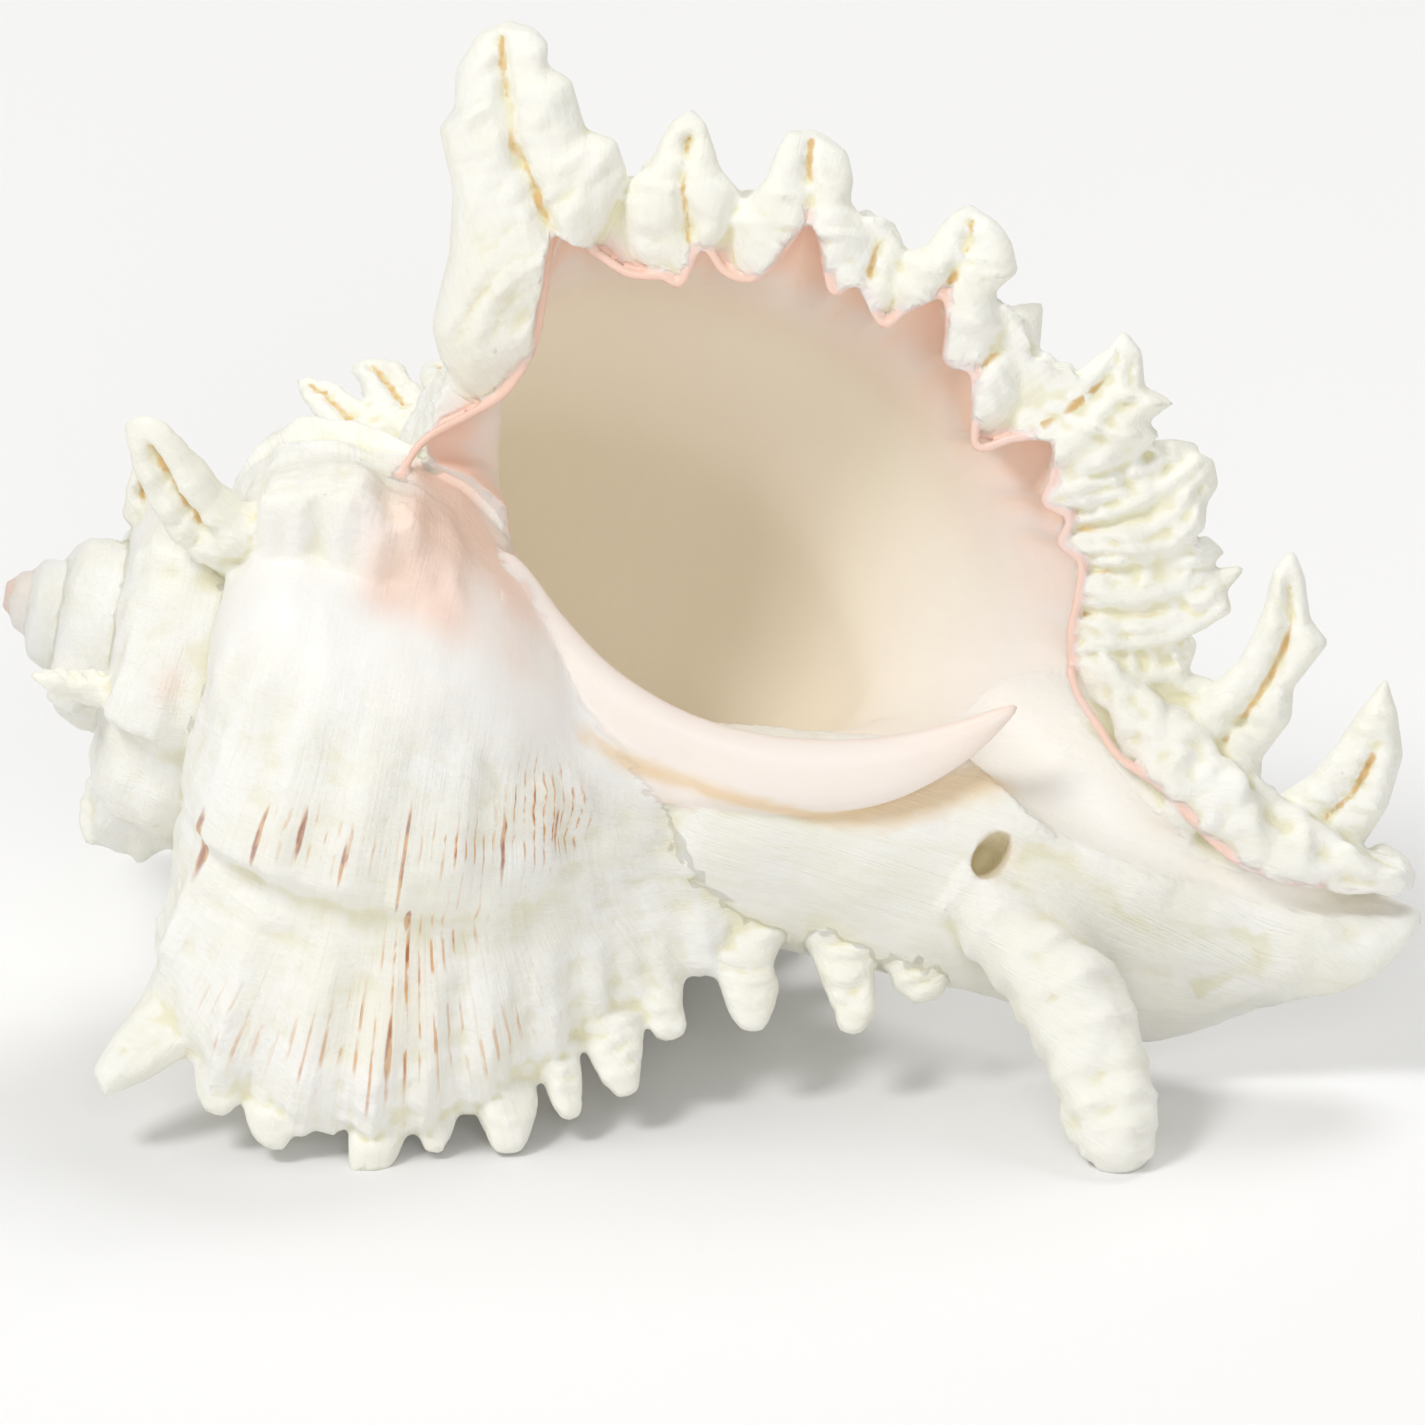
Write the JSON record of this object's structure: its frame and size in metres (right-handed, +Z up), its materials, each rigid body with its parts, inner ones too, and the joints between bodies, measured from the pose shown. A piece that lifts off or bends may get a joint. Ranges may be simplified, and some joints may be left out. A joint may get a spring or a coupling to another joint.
{
  "type": "murex shell",
  "caption": "Coiled sea shell with a round, hollow mouth, rows of leafy spines along its ribs and a drawn-out canal, resting on three spine tips.",
  "frame": {"origin": "under the middle of the shell's bounding box, on the plane it rests on", "axes": "+X from the apex of the spire towards the canal, +Z up, the mouth faces -Y"},
  "size_m": [0.1764, 0.1054, 0.1314],
  "materials": {
    "shell": "chalky off-white outside, satin pink and tan inside the mouth"
  },
  "bodies": {
    "root": {"murex_shell": "shell"}
  },
  "joints": []
}
